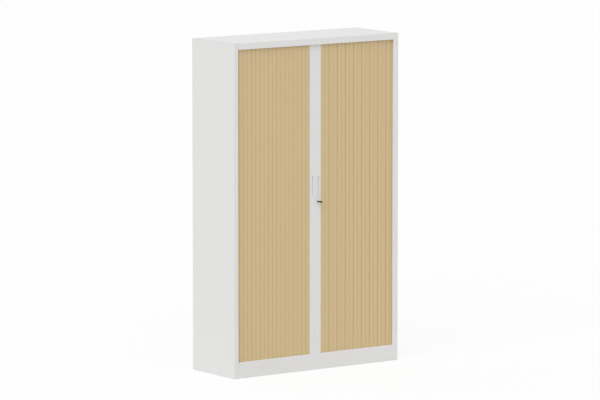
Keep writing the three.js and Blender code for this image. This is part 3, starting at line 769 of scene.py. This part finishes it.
# %% Ease the edges of small solids
def eased_copy(name, width, segments=2):
    """Replaces a solid by a copy with its points merged, flat faces joined and edges rounded."""
    solid = frame["nodes"][name]
    flat_within, smooth_up_to, eased_above = np.radians([1, 30, 40])
    merge_within = 0.001 * MM
    mesh = bpy.data.meshes.new(f"{name}_eased")
    shape = bmesh.new()
    shape.from_mesh(solid.data)
    bmesh.ops.remove_doubles(shape, verts=shape.verts, dist=merge_within)
    bmesh.ops.dissolve_limit(
        shape, angle_limit=flat_within, verts=shape.verts, edges=shape.edges
    )
    shape.to_mesh(mesh)
    shape.free()
    mesh.polygons.foreach_set("use_smooth", np.ones(len(mesh.polygons), dtype=bool))
    mesh.set_sharp_from_angle(angle=smooth_up_to)
    piece = bpy.data.objects.new(f"{name}_eased", mesh)
    bpy.context.scene.collection.objects.link(piece)
    bevel = piece.modifiers.new("broken edges", "BEVEL")
    bevel.width = width
    bevel.segments = segments
    bevel.limit_method = "ANGLE"
    bevel.angle_limit = eased_above
    bevel.harden_normals = True
    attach(piece, solid["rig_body"])
    dress(piece, slot_of[name])
    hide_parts(name)


edge_widths = {"key_bow": 0.8, "key_blade": 0.2, "lock_cam": 0.25, "lock_keep": 0.2}
bracket_numbers = range(1, BRACKETS_A_SIDE + 1)
edge_widths.update({f"{side}_bracket_{n}": 0.3 for side in SIDES for n in bracket_numbers})
for name, width in edge_widths.items():
    eased_copy(name, width * MM)
print("eased:", len(edge_widths))

# %% [markdown]
# ## Levelling feet
# A foot is a moulded pad on a steel stud. The pad has fine flutes for the fingers and a
# hexagon for a spanner, and the stud's thread runs up through the nut in the base. The flutes
# and the thread are both waves on a turned shape: one goes round, and the other climbs as it
# goes round.


# %% Levelling feet
def fluted_pad(origin, around=96, flutes=24):
    """A turned pad whose rim swings in by a third of a millimetre at each flute."""
    flute_depth, rim_start, rim_width = 0.35 * MM, 13.4 * MM, 1.6 * MM
    profile = np.array([
        (12.4, 0), (13, 0), (14.4, 0.6), (15, 2), (15, 6.6), (14.4, 7.7), (13.4, 8), (8.2, 8),
    ]) * MM
    rings = turned(profile, around, (0, 0, 0))
    angle = np.arange(around) * 2 * np.pi / around
    on_rim = np.clip((profile[:, 0] - rim_start) / rim_width, 0, 1)
    swing = flute_depth * on_rim[:, None] * (1 - np.cos(flutes * angle)) / 2
    rings[:, :, :2] *= (1 - swing / profile[:, :1])[:, :, None]
    return closed_grid(rings + np.array(origin))


def spanner_hexagon(origin):
    """A hexagon of 13 mm across its flats, which narrows a little at the top."""
    across_flats = 13
    corner = across_flats / 2 / np.cos(np.pi / 6)
    profile = np.array([(corner, 7.5), (corner, 12.2), (corner - 0.7, 12.8)]) * MM
    return closed_grid(turned(profile, 6, origin))


def threaded_stud(origin, around=16, per_turn=6):
    """A stud whose radius is that of its core plus a ridge: half the depth times one plus the
    cosine of the height in turns less the angle round."""
    pitch, low, high = 2.5 * MM, 12 * MM, 90.5 * MM
    core_radius, ridge, tip_share, tip_height = 3.45 * MM, 0.55 * MM, 0.8, 1.5 * MM
    height = np.linspace(low, high, int((high - low) / pitch * per_turn))
    angle = np.arange(around) * 2 * np.pi / around
    phase = height[:, None] / pitch * 2 * np.pi - angle[None, :]
    radius = core_radius + ridge * (1 + np.cos(phase)) / 2
    rings = np.stack(
        [radius * np.cos(angle), radius * np.sin(angle), np.repeat(height[:, None], around, 1)],
        axis=-1,
    )
    tip = rings[-1:] * (tip_share, tip_share, 1) + (0, 0, tip_height)
    return closed_grid(np.concatenate([rings, tip]) + np.array(origin))


for corner_name in ("front_left", "front_right", "back_left", "back_right"):
    low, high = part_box(f"foot_{corner_name}")
    origin = ((low.x + high.x) / 2, (low.y + high.y) / 2, 0)
    pad = new_piece(
        f"foot_{corner_name}_pad",
        [fluted_pad(origin), spanner_hexagon(origin)],
        f"foot_{corner_name}",
        "foot_plastic",
    )
    stud = new_piece(
        f"foot_{corner_name}_stud", [threaded_stud(origin)], f"foot_{corner_name}", "zinc_steel"
    )
    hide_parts(f"foot_{corner_name}")
print("faces in a stud:", len(stud.data.polygons))

# %% [markdown]
# ## Fixings
# Sheet steel is riveted and screwed together. A row of blind rivets holds the foot of the back
# panel to the base, and pan-head screws hold the inner walls. A rivet is a shallow dome with a
# dimple where its mandrel broke off. All of a row share one profile, so they are added to one
# mesh, each at its own place.


# %% Rivets and screws
def rivet(place, around=20):
    """A blind rivet: a low dome of 3.2 mm radius with a dimple, turned about Y."""
    profile = np.array([
        (0.35, 0.5), (0.95, 0.55), (1.15, 0.95), (1.6, 1), (2.4, 0.75), (3, 0.35), (3.2, 0.02),
    ]) * MM
    return closed_grid(turned(profile, around, place, axis=1))


def pan_screw(place, facing, around=24):
    """A pan-head screw turned about X, whose six-sided socket is a hexagonal ring of points
    inside the round ones. Each step is (radius, reach out of the wall, hexagonal or not)."""
    angle = np.arange(around) * 2 * np.pi / around
    sixth = np.cos((angle + np.pi / 6) % (np.pi / 3) - np.pi / 6)
    steps = [
        (1.15, 0.7, 1), (1.25, 1.75, 1), (2.2, 2, 0), (3.2, 1.5, 0), (3.6, 0.8, 0), (3.6, 0.02, 0),
    ]
    rings = np.zeros((len(steps), around, 3))
    for ring, (radius, out, hexagonal) in zip(rings, steps):
        reach = radius / sixth if hexagonal else np.full(around, radius)
        ring[:, 0] = facing * out
        ring[:, 1] = reach * np.cos(angle)
        ring[:, 2] = reach * np.sin(angle)
    return closed_grid(rings * MM + np.array(place))


back_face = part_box("back_panel")[1].y
rivet_height, rivet_reach, rivet_count = 76 * MM, 540, 10
rivet_places = np.linspace(-rivet_reach, rivet_reach, rivet_count) * MM
rivets = [rivet((x, back_face, rivet_height)) for x in rivet_places]
new_piece("back_rivets", rivets, "cabinet", "white_paint", 30)
wall = 565 * MM
screw_depths, screw_heights = (-152, 0, 152), (112, 1932)
for side_name, side in SIDES.items():
    places = [(side * wall, y * MM, z * MM) for y in screw_depths for z in screw_heights]
    screws = [pan_screw(place, -side) for place in places]
    new_piece(f"{side_name}_wall_screws", screws, "cabinet", "zinc_steel", 30)
print("rivets:", len(rivets), "screws:", 2 * len(places))

# %% [markdown]
# ## Studio
# The photograph shows the cabinet on white, with no horizon. So the floor is pale and runs far
# back, and the world is plain white wherever the camera, a mirror or a glass looks at it. The
# floor glows white there too, but a small share of it stays lit by the lamps, which keeps the
# soft shadow. The light on the cabinet is soft: an even sky, and one broad lamp high on the left.
# Of the three sides in view it makes the top the brightest and the front the darkest. It weakens
# the grooves of the left shutter against those of the right one, and shades the shutters beside
# the jambs.


# %% Floor
def floor_mesh(half):
    """A square of four corners at the height of the floor."""
    mesh = bpy.data.meshes.new("studio floor")
    corners = [(-half, -half, 0), (half, -half, 0), (half, half, 0), (-half, half, 0)]
    mesh.from_pydata(corners, [], [[0, 1, 2, 3]])
    return mesh


floor_half, glow_share = 60, 0.85
floor = bpy.data.objects.new("studio floor", floor_mesh(floor_half))
bpy.context.scene.collection.objects.link(floor)
ground = Finish("white studio floor", Roughness=1.0)
looked_at = ground.seen_directly()
ground.feed(
    ground.shader,
    {
        "Base Color": ground.blend(looked_at, tint(226, 226, 226), tint(252, 252, 252)),
        "Specular IOR Level": 0.0,
    },
)
glow = ground.node("ShaderNodeEmission", {}, {"Strength": 1.0})
lighter = ground.node(
    "ShaderNodeMixShader",
    {},
    {0: looked_at * glow_share, 1: ground.shader.outputs[0], 2: glow.outputs[0]},
)
ground.feed(ground.given("OUTPUT_MATERIAL"), {"Surface": lighter.outputs[0]})
floor.data.materials.append(ground.material)
floor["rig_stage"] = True
print("floor laid")

# %% World and lamp
sky_strength, lamp_energy, lamp_width = 0.674, 1.275, np.radians(55)
towards_lamp = Vector((-0.6, -0.44, 0.667))
world = bpy.data.worlds.new("studio")
bpy.context.scene.world = world
world.use_nodes = True
sky = Graph(world.node_tree)
even_sky = sky.given("BACKGROUND")
sky.feed(even_sky, {"Color": (1, 1, 1, 1), "Strength": sky_strength})
white = sky.node("ShaderNodeBackground", {}, {"Color": (1, 1, 1, 1)})
choice = sky.node(
    "ShaderNodeMixShader",
    {},
    {0: sky.seen_directly(), 1: even_sky.outputs[0], 2: white.outputs[0]},
)
sky.feed(sky.given("OUTPUT_WORLD"), {"Surface": choice.outputs[0]})

light = bpy.data.lights.new("broad lamp", "SUN")
light.energy = lamp_energy
light.angle = lamp_width
lamp = bpy.data.objects.new("broad lamp", light)
lamp.rotation_euler = towards_lamp.to_track_quat("Z", "Y").to_euler()
bpy.context.scene.collection.objects.link(lamp)
print("lamp energy:", round(light.energy, 3))

# %% [markdown]
# ## Camera
# The cabinet was photographed from far off with a long lens, from the left and a little above.
# The direction, the distance and the focal length were found by fitting a camera to seven
# corners of the casing. Standard is the view transform that leaves colours as they are.

# %% Camera and view
turn_left, rise, distance = np.radians(35.65), np.radians(7.395), 26.598
picture_width, focal_in_pixels = 600, 4497.9
film_width, farthest_seen = 36, 200
aim = Vector((-0.12413, -0.215, 1.03025))
outward = Vector((
    -np.sin(turn_left) * np.cos(rise), -np.cos(turn_left) * np.cos(rise), np.sin(rise)
))
lens = bpy.data.cameras.new("long lens")
lens.sensor_width = film_width
lens.lens = focal_in_pixels / picture_width * film_width
lens.clip_end = farthest_seen
camera = bpy.data.objects.new("camera", lens)
camera.location = aim + outward * distance
camera.rotation_euler = outward.to_track_quat("Z", "Y").to_euler()
bpy.context.scene.collection.objects.link(camera)
bpy.context.scene.camera = camera
bpy.context.scene.view_settings.view_transform = "Standard"
print("focal length:", round(lens.lens, 1), "mm")

# %% [markdown]
# ## Sizes, and the end
# The size of the model before and after dressing is put in one table, and the size at the end is
# printed.

# %% The sizes at the end
sizes = {"at_load": size_at_load, "at_finish": plain(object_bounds())}
print("size at the end:", sizes["at_finish"])
